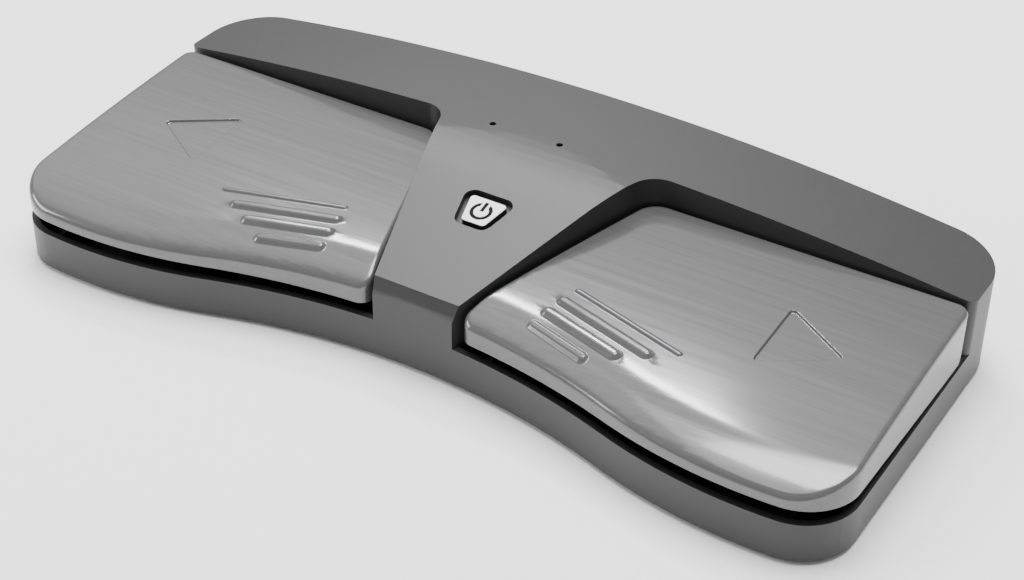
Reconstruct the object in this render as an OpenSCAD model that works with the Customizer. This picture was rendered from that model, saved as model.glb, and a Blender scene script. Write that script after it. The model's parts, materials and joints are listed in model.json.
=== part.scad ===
// Wireless page turner pedal: a bow-shaped housing with two sprung, hinged foot pedals, a centre console
// with a power button, and the works inside. +X is right, +Y is the rear, +Z is up.
// The origin lies on the floor, under the middle of the body. Lengths are in millimetres.

/* [Plan outline] */
// Width of the body
body_w = 280; // [270:1:296]
// Rear edge at the middle, from the origin
rear_y = 62.7; // [61:0.1:66]
// Radius of the nearly straight rear edge
rear_bow_r = 2950; // [1500:10:4000]
// Radius of the rear corners
rear_corner_r = 18.5; // [12:0.5:22]
// Front edge at the middle, in front of the origin
waist_y = 44.8; // [43:0.1:47]
// Radius of the hollow middle of the front edge
waist_r = 222; // [200:1:240]
// Radius of the bulging front edge of each pedal
lobe_r = 149; // [140:1:160]
// Distance from the middle to where the hollow turns into the bulge
lobe_x = 68; // [64:0.5:72]
// Radius of the outer front corners
front_corner_r = 17.4; // [12:0.2:19]

/* [Housing] */
// Height of the housing at the middle of the ridge, above its own underside
ridge_h = 40.3; // [39:0.1:43]
// Radius of the arched ridge, seen from the front
ridge_arch_r = 1120; // [900:10:1600]
// Front face of the ridge, behind the origin
ridge_front_y = 29.5; // [28.5:0.1:31]
// Height of the low wall under the pedals
ledge_h = 12.4; // [11.5:0.1:13]
// Thickness of the low wall
rim_w = 2.2; // [1.8:0.1:2.6]
// Thickness of the other walls
wall = 2.2; // [1.8:0.1:2.6]
// Thickness of the roof
roof_t = 2.2; // [1.8:0.1:2.6]
// Half width of the console at its front
console_w = 13.8; // [12.5:0.1:15]
// How fast the console widens towards the rear
console_flare = 0.31; // [0.28:0.01:0.34]
// Radius in plan where the console meets the ridge
console_corner_r = 9.5; // [7:0.5:11]
// Height of the fold at the front of the console
fold_h = 26.4; // [25.5:0.1:27.5]
// Distance from the front edge back to the fold
fold_back = 2.2; // [1.5:0.1:3]
// Steepness of the band in front of the fold, rise over run
band_slope = 1.9; // [1.5:0.1:3]
// Slope of the console top, rise over run
console_slope = 0.238; // [0.22:0.002:0.25]
// Radius of the roll from the console into the ridge
console_roll_r = 120; // [60:5:140]
// Radius of the upright corner at each end of the ridge
post_r = 3; // [1:0.5:4]

/* [Pedals] */
// Gap between a pedal and the ridge
pedal_rear_gap = 1.0; // [0.9:0.1:1.5]
// Gap between a pedal and the console
pedal_side_gap = 1.2; // [0.8:0.1:1.6]
// How far the skirt stands inside the edge of the housing
pedal_inset = 0.3; // [0.1:0.1:0.8]
// Height of the pedal top at its rear edge
pedal_h = 31.3; // [30.5:0.1:32]
// Forward slope of the pedal top at its rear edge, in degrees
pedal_slope = 2.4; // [1.5:0.1:3.5]
// Radius of the pedal top's slight crown, front to rear
crown_r = 1265; // [1000:5:2000]
// Width of the rounded front of the pedal top
roll_w = 16.5; // [14:0.5:18]
// Radius of the rounded front of the pedal top
roll_r = 35; // [32:0.5:40]
// Top thickness of the pedal plate
plate_t = 2.0; // [1.6:0.1:2.4]
// Skirt thickness of the pedal plate
skirt_t = 1.8; // [1.5:0.1:2]
// Radius of the pedal's rear corners, seen from above
pedal_corner_r = 4; // [3:0.5:5]
// Gap between the skirt and the low wall when the pedal is pressed
pressed_gap = 1.0; // [0.8:0.1:1.4]
// Pedal travel, in degrees
travel = 2.3; // [1.8:0.1:2.4]

/* [Grip bars and triangles] */
// Number of grip bars on each pedal
bar_count = 4; // [2:1:4]
// Width of a grip bar across its top
bar_w = 1.4; // [1:0.1:2]
// How far a bar's sloping side spreads on its way down
bar_spread = 1.6; // [1:0.1:1.9]
// Distance between grip bars
bar_pitch = 5.9; // [5.5:0.1:6.2]
// Angle of the grip bars, in degrees
bar_angle = 15; // [8:1:18]
// Height of the bars above the pedal top
bar_proud = 1.1; // [0.8:0.05:1.3]
// Length of the longest bar
bar_l = 40.3; // [34:0.5:44]
// Distance from the middle to the apex of the triangle
tri_x = 118.7; // [114:0.5:121]
// Length of the triangle towards its apex
tri_l = 22.3; // [16:0.5:24]
// Width of the triangle across its base
tri_w = 27; // [18:0.5:30]
// Triangle's centre line in front of the origin
tri_y = 10.4; // [8:0.2:12]
// Depth of the sunk triangle
tri_depth = 0.7; // [0.4:0.05:0.9]

/* [Hinges and springs] */
// Hinge axis behind the origin
hinge_y = 22; // [21:0.1:22.5]
// Height of the hinge axis above the underside
hinge_h = 8.8; // [8.5:0.1:9.2]
// Radius of the hinge rod
rod_r = 1.5; // [1.2:0.1:1.8]
// Running clearance of the hinge rod in the pedal lugs
rod_clear = 0.05; // [0.02:0.01:0.09]
// Middle of each pedal's works, from the middle of the body
works_x = 86; // [84:0.5:88]
// Half the distance between the two hinge lugs of a pedal
lug_x = 31; // [28:0.5:33]
// Radius of a hinge lug
lug_r = 3.6; // [3.2:0.1:3.9]
// Width of a hinge lug
lug_w = 5; // [4:0.5:6]
// Outer radius of the return spring
spring_r = 4.5; // [4:0.1:5.5]
// Wire diameter of the return spring
wire_d = 0.9; // [0.7:0.05:1.1]
// Turns of the return spring
spring_turns = 6; // [4:1:6]
// Distance from the hinge to the return spring
spring_arm = 46; // [42:1:50]
// Distance from the hinge to the pedal switch
switch_arm = 27; // [25:0.5:28]
// Distance from the front edge back to the stop bumpers
bumper_back = 12; // [10.5:0.5:14]

/* [Base plate and feet] */
// Thickness of the base plate
plate_h = 2.4; // [2:0.1:2.8]
// Depth of the base plate inside the rim of the housing
plate_recess = 0.4; // [0.2:0.1:0.6]
// Clearance round the base plate
plate_clear = 0.25; // [0.1:0.05:0.5]
// How far the rubber feet stand out below the housing
foot_drop = 1.5; // [1:0.1:2.5]
// Radius of a rubber foot
foot_r = 7; // [5:0.5:8]
// Radius of a screw's thread
screw_r = 1.25; // [1:0.05:1.4]
// Radius of a screw's head
head_r = 2.5; // [2.2:0.1:2.8]

/* [Power button and lights] */
// Button's middle in front of the origin
button_y = 8.1; // [7.5:0.1:9]
// Half width of the button at its rear
button_w = 6.4; // [5.6:0.1:7]
// Half width of the button at its front
button_front_w = 3.9; // [3.4:0.1:4.6]
// Length of the button
button_l = 10.2; // [9:0.1:11]
// Width of the recess round the button
recess_w = 2.1; // [1.6:0.1:2.4]
// Travel of the button
button_travel = 0.5; // [0.3:0.05:0.6]
// Radius of an indicator light
light_r = 1.0; // [0.7:0.05:1.3]
// Left light, from the middle
light_x_left = 18.8; // [16:0.1:21]
// Right light, from the middle
light_x_right = 5.2; // [4:0.1:7]
// Lights' distance behind the origin
light_y = 28.5; // [27:0.1:29.5]

/* [Electronics] */
// Height of the main board's underside
board_h = 24; // [23:0.1:24.5]
// Thickness of the circuit boards
board_t = 1.6; // [1:0.1:1.6]
// Clear space between the battery and the screw pillars beside it
battery_gap = 4.8; // [2:0.2:8]
// Width of the battery
battery_w = 24; // [20:0.5:25]
// Height of the battery
battery_h = 9; // [6:0.5:12]
// Width of the charging socket
usb_w = 8.9; // [8:0.1:9.4]
// Height of the charging socket
usb_h = 3.2; // [2.8:0.1:3.4]

/* [Hidden] */
$fn = 48;
eps = 0.01;
play = 0.05;
far = 400;

// Centres of the plan's arcs, right half
waist_c = [0, -waist_y - waist_r];
lobe_a = asin(lobe_x / waist_r);
lobe_c = waist_c + (waist_r + lobe_r) * [sin(lobe_a), cos(lobe_a)];
corner_x = body_w / 2 - front_corner_r;
corner_c = [corner_x, lobe_c.y - sqrt(pow(lobe_r - front_corner_r, 2) - pow(corner_x - lobe_c.x, 2))];
corner_a = atan2(corner_c.y - lobe_c.y, corner_c.x - lobe_c.x);
bow_c = [0, rear_y - rear_bow_r];
rear_c_x = body_w / 2 - rear_corner_r;
rear_c = [rear_c_x, bow_c.y + sqrt(pow(rear_bow_r - rear_corner_r, 2) - pow(rear_c_x, 2))];
rear_a = atan2(rear_c.y - bow_c.y, rear_c.x);

// Levels above the underside of the housing
plate_top = plate_recess + plate_h;
skirt_h = ledge_h + pressed_gap;
carrier_h = skirt_h + 0.2;
carrier_t = 2;
carrier_gap = 0.5;
carrier_rear_y = ridge_front_y - pedal_rear_gap - skirt_t - carrier_gap;
tail_t = 2;
rest_h = 5;
switch_h = plate_top + 2;
switch_body_h = 3.2;
plunger_r = 1.75;
press_y = hinge_y - switch_arm;
press_drop = switch_arm * tan(travel);
plunger_top = switch_h + board_t + switch_body_h + press_drop + 0.35;
bumper_x = [-26, 22];
stop_x = works_x + bumper_x[0];
stop_y = waist_c.y + sqrt(pow(waist_r, 2) - pow(stop_x, 2)) + bumper_back;
bumper_t = 2.4;
bumper_r = 4;
rest_x = [-16, 16];
post_w = 4;
post_x = lug_x + lug_w / 2 + play + post_w / 2;
post_top_r = 3.2;
spring_y = hinge_y - spring_arm;
spring_top = carrier_h + spring_arm * tan(travel);
pedal_rear_y = ridge_front_y - pedal_rear_gap;
fold_y = fold_back - waist_y;
// The console's slope meets the level of the ridge here
slope_end_y = fold_y + (ridge_h - fold_h) / console_slope;
slope_a = atan(console_slope);
roll_l = console_roll_r * tan(slope_a / 2);
board_top = board_h + board_t;
led_h = 1;
usb_x = 20;
lead_w = 5;
lead_t = 0.7;
lead_x = 7;
plug_h = 4;
guide_t = 1.4;
symbol_r = 3.5;
symbol_w = 1.15;
symbol_t = 0.4;
foot_seat = 0.8;
bumper_foot = carrier_h - 0.1 - bumper_t;
tail_h = rest_h + play + (carrier_rear_y - hinge_y) * sin(travel);
board_front_y = ridge_front_y + wall + 1.5;
board_rear_y = rear_y - wall - 2;
pad_t = 1;
battery_plug_x = -22;
pilot = 0.02;
rim_in = max(wall, rim_w);
ridge_screws = [[body_w / 2 - 22, 44], [0.186 * body_w, 44]];
rim_screws = [[body_w / 2 - 15, -46], [48, -38]];
console_screw = [0, -34];
foot_spots = [[body_w / 2 - 16, 32], [body_w / 2 - 18, -32], [44, -24]];
board_spots = [[31, 53], [7.5, -24.5]];
board_edge = 3.5;
board_neck_y = 18;
board_neck_w = 50;
lead_pitch = 2;
carrier_spots = [[-38, 10], [34, 6], [-38, -22], [32, -30]];
boss_r = 3.2;
battery_x = (ridge_screws[0].x + ridge_screws[1].x) / 2;
battery_l = ridge_screws[0].x - ridge_screws[1].x - 2 * boss_r - 2 * battery_gap;
battery_y = ridge_screws[0].y + 2;
lead_y = battery_y + 4.5;
// The crown's centre line, and where the rolled front's own plane touches the crown
crown_c = [pedal_rear_y + crown_r * sin(pedal_slope), pedal_h - crown_r * cos(pedal_slope)];
touch_y = -waist_y - 2;
touch_a = asin((crown_c.x - touch_y) / crown_r);
touch_z = crown_c.y + crown_r * cos(touch_a);
// The roll starts a little above the crown, so the two cross at a clear angle
roll_lift = 0.12;
// Rise of each bar above that plane, rear to front, and how far its foot goes below it
bar_rise = [0.45 * bar_proud, bar_proud, bar_proud, 0.45 * bar_proud];
bar_foot = [-0.6, -0.6, -0.6, -1.2] * plate_t;
screw_l = 8;
head_h = 1.3;

function arc(c, r, a, b, n) = [for (i = [0 : n]) c + r * [cos(a + (b - a) * i / n), sin(a + (b - a) * i / n)]];
// Right half of the plan, drawn in by i
function half_plan(i) = concat(
    arc(waist_c, waist_r + i, 90, 90 - lobe_a, 14),
    arc(lobe_c, lobe_r - i, 270 - lobe_a, 360 + corner_a, 14),
    arc(corner_c, front_corner_r - i, corner_a, 0, 14),
    arc(rear_c, rear_corner_r - i, 0, rear_a, 14),
    arc(bow_c, rear_bow_r - i, rear_a, 90, 3));
function flip(pts) = [for (k = [len(pts) - 1 : -1 : 0]) [-pts[k].x, pts[k].y]];
function console_x(y) = console_w + console_flare * (y + waist_y);
// Height of the sloping part of the console top
function console_z(y) = fold_h + console_slope * (y - fold_y);

module lift() { translate([0, 0, foot_drop]) children(); }
module both() { children(); mirror([1, 0, 0]) children(); }
module side(s) { if (s > 0) { children(); } else { mirror([1, 0, 0]) children(); } }
module plan(i = 0) { polygon(concat(half_plan(i), flip(half_plan(i)))); }
module slab(z0, z1) { translate([0, 0, z0]) linear_extrude(z1 - z0) children(); }
module disc(x, y, z0, z1, r) { translate([x, y, z0]) cylinder(r = r, h = z1 - z0); }

// Space in front of the ridge and beside the console, right half
module bay_plan(side_gap = 0, rear_gap = 0) {
    a = atan(console_flare);
    shift = side_gap / cos(a);
    y1 = ridge_front_y - rear_gap;
    r = max(console_corner_r - side_gap, 1);
    cx = console_x(y1) + shift + r / cos(a) - r * tan(a);
    polygon(concat(
        [[console_x(-far) + shift, -far], [far, -far], [far, y1]],
        arc([cx, y1 - r], r, 90, 180 - a, 10)));
}
// The rounded upright corner at the ridge's end
module post_corner() {
    c = [body_w / 2 - post_r, ridge_front_y + post_r];
    difference() {
        translate([c.x, ridge_front_y - eps]) square([far, post_r + eps]);
        translate(c) circle(r = post_r);
    }
}
module pedal_plan(i = 0) {
    offset(delta = -i) offset(r = pedal_corner_r) offset(delta = -pedal_corner_r) intersection() {
        plan(pedal_inset);
        bay_plan(pedal_side_gap, pedal_rear_gap);
    }
}

// Everything below the arched ridge
module under_arch(drop = 0) {
    translate([0, 0, ridge_h - drop - ridge_arch_r]) rotate([90, 0, 0])
        cylinder(r = ridge_arch_r, h = far, center = true, $fn = 720);
}
// Everything below the console's fold, slope and roll, drawn in the YZ plane
module under_console(drop = 0) {
    low = ledge_h + 1;
    c = [slope_end_y + roll_l, ridge_h - console_roll_r];
    pts = concat(
        [[-far, low], [fold_y - (fold_h - low) / band_slope, low], [fold_y, fold_h]],
        arc(c, console_roll_r, 90 + slope_a, 90, 8), [[far, ridge_h]]);
    rotate([90, 0, 90]) linear_extrude(far, center = true)
        polygon(concat([for (p = pts) p - [0, drop]], [[far, -far], [-far, -far]]));
}
module on_console() {
    translate([0, -button_y, console_z(-button_y)]) rotate([slope_a, 0, 0]) children();
}
module button_plan(grow = 0) {
    r = 1.2;
    offset(r = grow + r) offset(delta = -r)
        polygon([[-button_front_w, -button_l / 2], [button_front_w, -button_l / 2],
            [button_w, button_l / 2], [-button_w, button_l / 2]]);
}
module stadium(w, h) {
    square([w - h, h], center = true);
    for (s = [-1, 1]) translate([s * (w - h) / 2, 0]) circle(d = h);
}
module usb_prism(y0, y1, grow) {
    translate([usb_x, y1, board_top + play + usb_h / 2]) rotate([90, 0, 0]) linear_extrude(y1 - y0)
        stadium(usb_w + 2 * grow, usb_h + 2 * grow);
}
module screw(x, y, z, len) {
    disc(x, y, z, z + len, screw_r);
    difference() {
        disc(x, y, z - head_h, z, head_r);
        for (a = [0, 90]) translate([x, y, z - head_h]) rotate(a) cube([2.6, 0.5, 1.2], center = true);
    }
}

module upper_housing() {
    color("#8a8a8c") lift() difference() {
        union() {
            difference() {
                intersection() { slab(0, 60) plan(); under_arch(); under_console(); }
                both() {
                    slab(ledge_h, 60) union() { bay_plan(); post_corner(); }
                    slab(-1, 60) intersection() { plan(rim_w); bay_plan(); }
                }
                intersection() {
                    slab(-1, 60) difference() { plan(wall); both() bay_plan(-wall, -wall); }
                    under_arch(roof_t);
                    under_console(roof_t);
                }
                slab(-1, plate_top + play) plan(rim_in);
            }
            // Screw pillars, bosses for the main board and bosses on the rim
            intersection() {
                union() {
                    both() for (p = ridge_screws) disc(p.x, p.y, plate_top + play, 60, boss_r);
                    disc(console_screw.x, console_screw.y, plate_top + play, 60, boss_r);
                    both() for (p = board_spots) disc(p.x, p.y, board_top, 60, boss_r);
                }
                under_arch(roof_t / 2);
                under_console(roof_t / 2);
            }
            both() for (p = rim_screws) {
                disc(p.x, p.y, plate_top + play, ledge_h - 2, boss_r);
                intersection() {
                    translate([p.x - 0.8, p.y - 30, plate_top + play])
                        cube([1.6, 30, ledge_h - 4 - plate_top]);
                    slab(0, 20) plan(rim_w / 2);
                }
            }
        }
        both() for (p = concat(ridge_screws, rim_screws)) disc(p.x, p.y, -1, plate_top + 7, screw_r + pilot);
        disc(console_screw.x, console_screw.y, -1, plate_top + 7, screw_r + pilot);
        both() for (p = board_spots) disc(p.x, p.y, board_h, board_top + 3, screw_r * 0.8 + pilot);
        on_console() slab(-8, 8) button_plan(recess_w);
        for (x = [-light_x_left, light_x_right]) disc(x, light_y, board_h, 60, light_r + play);
        usb_prism(rear_y - wall - 2, rear_y + 2, 0.3);
        both() translate([console_x(press_y) - 6, press_y - lead_w / 2 - 0.4, -1])
            cube([14, lead_w + 0.8, plate_top + lead_t + 1.3]);
    }
}
module base_plate() {
    color("#3c3c3e") lift() difference() {
        union() {
            slab(plate_recess, plate_top) plan(rim_in + plate_clear);
            both() {
                for (s = [-1, 1]) translate([works_x + s * post_x, 0, 0]) hinge_post();
                for (x = bumper_x) disc(works_x + x, stop_y, plate_top - eps, bumper_foot, bumper_r + 0.6);
                disc(works_x, spring_y, plate_top - eps, plate_top + 3, spring_r - wire_d - 0.4);
                for (s = [-1, 1]) disc(works_x + s * 8, press_y, plate_top - eps, switch_h, 1.8);
            }
        }
        both() {
            translate([works_x, hinge_y, hinge_h]) rotate([0, 90, 0])
                cylinder(r = rod_r + pilot, h = 2 * post_x + 2 * post_w, center = true);
            for (p = concat(ridge_screws, rim_screws)) screw_hole(p);
            for (p = foot_spots) disc(p.x, p.y, -1, plate_recess + foot_seat, foot_r + play);
        }
        screw_hole(console_screw);
    }
}
module screw_hole(p) {
    disc(p.x, p.y, -1, 10, screw_r + 0.2);
    disc(p.x, p.y, -1, plate_recess + head_h + 0.1, head_r + 0.2);
}
module hinge_post() {
    translate([-post_w / 2, hinge_y - post_top_r, plate_top - eps])
        cube([post_w, 2 * post_top_r, hinge_h - plate_top + eps]);
    translate([0, hinge_y, hinge_h]) rotate([0, 90, 0]) cylinder(r = post_top_r, h = post_w, center = true);
}
module housing_screws() {
    color("#6e6e70") lift() {
        both() for (p = concat(ridge_screws, rim_screws)) screw(p.x, p.y, plate_recess + head_h + 0.1, 6);
        screw(console_screw.x, console_screw.y, plate_recess + head_h + 0.1, 6);
    }
}
module rubber_feet() {
    color("#1d1d1e") lift() both()
        for (p = foot_spots) disc(p.x, p.y, -foot_drop, plate_recess + foot_seat, foot_r);
}

// Pedals. The works are drawn as they lie when the pedal is pressed, then raised to rest.
module raised() {
    translate([0, hinge_y, hinge_h]) rotate([-travel, 0, 0]) translate([0, -hinge_y, -hinge_h]) children();
}
module on_top(drop = 0) {
    translate([0, touch_y, touch_z - drop]) rotate([touch_a, 0, 0]) translate([0, -touch_y, 0]) children();
}
function roll_z(d) = sqrt(pow(roll_r, 2) - pow(roll_w - d, 2)) - roll_r;
// Distances from the front edge, from just outside it to where the roll ends
roll_d = [for (k = [0 : 7]) -3 + (roll_w + 3) * k / 7];
module lobe_block() {
    translate(lobe_c) rotate_extrude($fn = 240) polygon(concat(
        [[0, -40], [lobe_r + 3, -40]], [for (d = roll_d) [lobe_r - d, roll_z(d)]], [[0, 0]]));
}
module waist_block() {
    translate(waist_c) rotate_extrude($fn = 360) polygon(concat(
        [[waist_r + 120, 0], [waist_r + 120, -40], [waist_r - 3, -40]],
        [for (d = roll_d) [waist_r + d, roll_z(d)]]));
}
// Everything below the pedal's top face
module under_top(drop = 0) {
    on_top(drop - roll_lift) {
        intersection() {
            lobe_block();
            translate(waist_c) rotate(-lobe_a) translate([0, 0, -50]) cube([far, far, 100]);
        }
        intersection() {
            waist_block();
            translate(waist_c) rotate(-lobe_a) translate([-far, 0, -50]) cube([far, far, 100]);
        }
    }
}
module under_crown(drop = 0) {
    translate([0, crown_c.x, crown_c.y - drop]) rotate([0, 90, 0])
        cylinder(r = crown_r, h = far, center = true, $fn = 1440);
}
module pedal_block(i = 0, drop = 0) {
    intersection() { slab(0, 60) pedal_plan(i); under_top(drop); under_crown(drop); }
}
// A bar with sloping sides and round ends, its foot sunk into the plate
module grip_bar(k) {
    l = bar_l - (bar_pitch + 0.7) * k - bar_w;
    foot = bar_foot[k];
    h = bar_rise[k] - foot;
    r2 = bar_w / 2;
    r1 = r2 + h * bar_spread / bar_proud;
    translate([40.7 - 1.3 * k, -20.5 - bar_pitch / cos(bar_angle) * k, foot]) rotate(-bar_angle) {
        rotate([90, 0, 90]) linear_extrude(l) polygon([[-r1, 0], [r1, 0], [r2, h], [-r2, h]]);
        for (x = [0, l]) translate([x, 0, 0]) cylinder(r1 = r1, r2 = r2, h = h);
    }
}
module triangle_plan() {
    offset(r = 1.4) offset(delta = -1.4) polygon([[tri_x, -tri_y],
        [tri_x - tri_l, tri_w / 2 - tri_y], [tri_x - tri_l, -tri_w / 2 - tri_y]]);
}
module pedal_plate(s) {
    color("#a4a4a6") lift() side(s) difference() {
        union() {
            difference() {
                union() {
                    pedal_block();
                    on_top() for (k = [0 : bar_count - 1]) grip_bar(k);
                }
                pedal_block(skirt_t, plate_t);
            }
            intersection() {
                raised() for (p = carrier_spots)
                    disc(works_x + p.x, p.y, carrier_h + carrier_t, 60, boss_r);
                pedal_block(skirt_t / 2, plate_t / 2);
            }
        }
        raised() slab(-60, skirt_h) translate([0, -far / 2]) square(far);
        raised() for (p = carrier_spots)
            disc(works_x + p.x, p.y, 0, carrier_h + carrier_t + 4.5, screw_r + pilot);
        difference() {
            slab(0, 60) triangle_plan();
            under_crown(tri_depth);
        }
    }
}
module pedal_carrier(s) {
    color("#4a4a4c") lift() side(s) raised() difference() {
        union() {
            slab(carrier_h, carrier_h + carrier_t) pedal_plan(skirt_t + carrier_gap);
            for (x = [-lug_x, lug_x]) translate([works_x + x, hinge_y, 0]) {
                translate([0, 0, hinge_h]) rotate([0, 90, 0]) cylinder(r = lug_r, h = lug_w, center = true);
                translate([-lug_w / 2, -lug_r, hinge_h]) cube([lug_w, 2 * lug_r, carrier_h - hinge_h + eps]);
            }
            disc(works_x, press_y, plunger_top - press_drop + 0.12, carrier_h + eps, 2.2);
            disc(works_x, spring_y, carrier_h - 2, carrier_h + eps, spring_r - wire_d - 0.4);
            for (x = rest_x) translate([works_x + x - 3, carrier_rear_y - tail_t, tail_h])
                cube([6, tail_t, carrier_h - tail_h + eps]);
        }
        translate([works_x, hinge_y, hinge_h]) rotate([0, 90, 0])
            cylinder(r = rod_r + rod_clear, h = 2 * lug_x + 2 * lug_w, center = true);
        for (p = carrier_spots) disc(works_x + p.x, p.y, 0, 40, screw_r + 0.2);
    }
}
module pedal_screws(s) {
    color("#6e6e70") lift() side(s) raised()
        for (p = carrier_spots) screw(works_x + p.x, p.y, carrier_h, 6);
}
module hinge_rod(s) {
    color("#c0c0c2") lift() side(s) translate([works_x, hinge_y, hinge_h]) rotate([0, 90, 0])
        cylinder(r = rod_r, h = 2 * post_x + post_w, center = true);
}
// Return spring, a coil of round wire with closed ends
spring_lo = plate_top + wire_d / 2 + play;
spring_hi = spring_top - wire_d / 2 - 0.25;
coil_r = spring_r - wire_d / 2;
coil_steps = spring_turns * 12;
coil_sides = 6;
end_turns = 0.7;
function coil_part(t) = (min(max(t, end_turns), spring_turns - end_turns) - end_turns)
    / (spring_turns - 2 * end_turns);
function coil_rise(t) = wire_d * 1.15 * (min(t, end_turns) + max(0, t - spring_turns + end_turns));
coil_mid = spring_hi - spring_lo - 2 * end_turns * wire_d * 1.15;
function coil_z(t) = spring_lo + coil_rise(t) + coil_mid * coil_part(t);
function coil_at(t) = [coil_r * cos(360 * t), coil_r * sin(360 * t), coil_z(t)];
module return_spring(s) {
    rings = [for (k = [0 : coil_steps]) let (t = spring_turns * k / coil_steps)
        [for (j = [0 : coil_sides - 1]) coil_at(t)
            + wire_d / 2 * (cos(360 * j / coil_sides) * [cos(360 * t), sin(360 * t), 0]
            + sin(360 * j / coil_sides) * [0, 0, 1])]];
    pts = [for (r = rings) each r];
    n = coil_sides;
    faces = concat([[for (j = [0 : n - 1]) j]],
        [for (k = [0 : coil_steps - 1], j = [0 : n - 1]) each
            [[k * n + j, (k + 1) * n + j, (k + 1) * n + (j + 1) % n],
            [k * n + j, (k + 1) * n + (j + 1) % n, k * n + (j + 1) % n]]],
        [[for (j = [n - 1 : -1 : 0]) coil_steps * n + j]]);
    color("#c0c0c2") lift() side(s) translate([works_x, spring_y, 0]) polyhedron(pts, faces);
}
module bumpers(s) {
    color("#26262a") lift() side(s)
        for (x = bumper_x) disc(works_x + x, stop_y, bumper_foot, carrier_h - 0.1, bumper_r);
}
module rest_pads(s) {
    color("#26262a") lift() side(s) for (x = rest_x)
        translate([works_x + x - 3.5, carrier_rear_y - tail_t - 1, plate_top]) cube([7, tail_t + 2, rest_h - plate_top]);
}
module switch_board(s) {
    color("#2f6b46") lift() side(s) translate([works_x - 11, press_y - 6, switch_h]) cube([22, 12, board_t]);
}
module pedal_switch(s) {
    z = switch_h + board_t;
    color("#202022") lift() side(s) difference() {
        translate([works_x - 3, press_y - 3, z]) cube([6, 6, switch_body_h]);
        disc(works_x, press_y, z + 0.4, 40, plunger_r + 0.15);
    }
}
module switch_plunger(s) {
    z = switch_h + board_t + 0.6 + press_drop;
    color("#b8562e") lift() side(s) disc(works_x, press_y, z, plunger_top, plunger_r);
}
module flat_lead(s) {
    w = lead_w;
    x1 = works_x - 10.1;
    color("#d8d8da") lift() side(s) translate([0, press_y - w / 2, 0]) {
        translate([lead_x, 0, plate_top]) cube([x1 - lead_x, w, lead_t]);
        translate([lead_x, 0, plate_top]) cube([lead_t, w, board_h - plug_h - plate_top]);
        translate([x1 - lead_t, 0, plate_top]) cube([lead_t, w, switch_h - plate_top]);
    }
}
module lead_plug(s) {
    color("#e6e2d6") lift() side(s)
        translate([lead_x - 2.2, press_y - lead_w / 2 - 1, board_h - plug_h]) cube([5, lead_w + 2, plug_h]);
}

// Power button
guide_top = -roof_t * cos(slope_a) - play;
flange_t = 0.9;
button_low = guide_top - guide_t - 0.1 - flange_t;
module power_button() {
    color("#e8e8ea") lift() on_console() difference() {
        union() {
            slab(button_low + flange_t - eps, -0.25) button_plan();
            slab(button_low, button_low + flange_t) button_plan(0.8);
        }
        slab(-0.25 - symbol_t, 1) power_plan();
    }
}
module power_plan() {
    difference() {
        difference() { circle(r = symbol_r); circle(r = symbol_r - symbol_w); }
        translate([-1.4, 0]) square([2.8, 2 * symbol_r]);
    }
    translate([-symbol_w / 2, 0]) square([symbol_w, symbol_r + 0.4]);
}
module power_symbol() {
    color("#101012") lift() on_console() slab(-0.25 - symbol_t, -0.35) power_plan();
}
module button_guide() {
    color("#161618") lift() on_console() difference() {
        slab(guide_top - guide_t, guide_top) button_plan(recess_w + 2.2);
        slab(-20, 5) button_plan(0.15);
    }
}
power_body_h = 2.6;
power_r = 1.5;
power_top = console_z(-button_y) + button_low / cos(slope_a) - power_r * console_slope - 0.08;
module power_switch() {
    color("#2a2a2c") lift() difference() {
        translate([-3, -button_y - 3, board_top]) cube([6, 6, power_body_h]);
        disc(0, -button_y, board_top + 0.4, 60, power_r + 0.25);
    }
}
module power_plunger() {
    color("#b8562e") lift() disc(0, -button_y, board_top + 0.6 + button_travel, power_top, power_r);
}

// Electronics on and under the main board
function arch_z(x) = ridge_h - ridge_arch_r + sqrt(pow(ridge_arch_r, 2) - x * x);
module light_pipes() {
    color("#2b2b2e") lift() for (x = [-light_x_left, light_x_right]) {
        disc(x, light_y, board_top + led_h + play, arch_z(x) - 0.8, light_r);
        disc(x, light_y, arch_z(x) - roof_t - 1.4, arch_z(x) - roof_t - 0.2, light_r + 0.8);
    }
}
module status_leds() {
    color("#f2f2e6") lift() for (x = [-light_x_left, light_x_right])
        translate([x - 1.6, light_y - 1, board_top]) cube([3.2, 2, led_h]);
}
module board_strip(w, y0, y1) { translate([-w, y0]) square([2 * w, y1 - y0]); }
module main_board() {
    color("#2f6b46") lift() difference() {
        slab(board_h, board_top) union() {
            board_strip(board_spots[1].x + board_edge, board_spots[1].y - board_edge, board_neck_y + 4);
            board_strip(board_neck_w / 2, board_neck_y, board_front_y + 2);
            board_strip(board_spots[0].x + board_edge + 1.5, board_front_y, board_rear_y);
        }
        both() for (p = board_spots) disc(p.x, p.y, 0, 60, screw_r * 0.8 + 0.2);
    }
}
module board_screws() {
    color("#6e6e70") lift() both() for (p = board_spots) {
        disc(p.x, p.y, board_h, board_top + 2.6, screw_r * 0.8);
        disc(p.x, p.y, board_h - 1.2, board_h, head_r * 0.8);
    }
}
module radio_module() {
    color("#b9b9bb") lift() {
        translate([-24, 38, board_top]) cube([13, 18, 0.8]);
        translate([-23, 39, board_top + 0.8]) cube([11, 11, 1.8]);
    }
}
module usb_socket() {
    y1 = rear_y - 0.6;
    color("#c8c8ca") lift() {
        difference() { usb_prism(y1 - 7.5, y1, 0); usb_prism(y1 - 6.5, y1 + 1, -0.35); }
        translate([usb_x - usb_w / 2 + 1.6, y1 - 6.6, board_top + play + usb_h / 2 - 0.35])
            cube([usb_w - 3.2, 5.4, 0.7]);
    }
}
module battery() {
    color("#5b6470") lift()
        translate([-battery_x - battery_l / 2, battery_y - battery_w / 2, plate_top + pad_t])
            cube([battery_l, battery_w, battery_h]);
}
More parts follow.
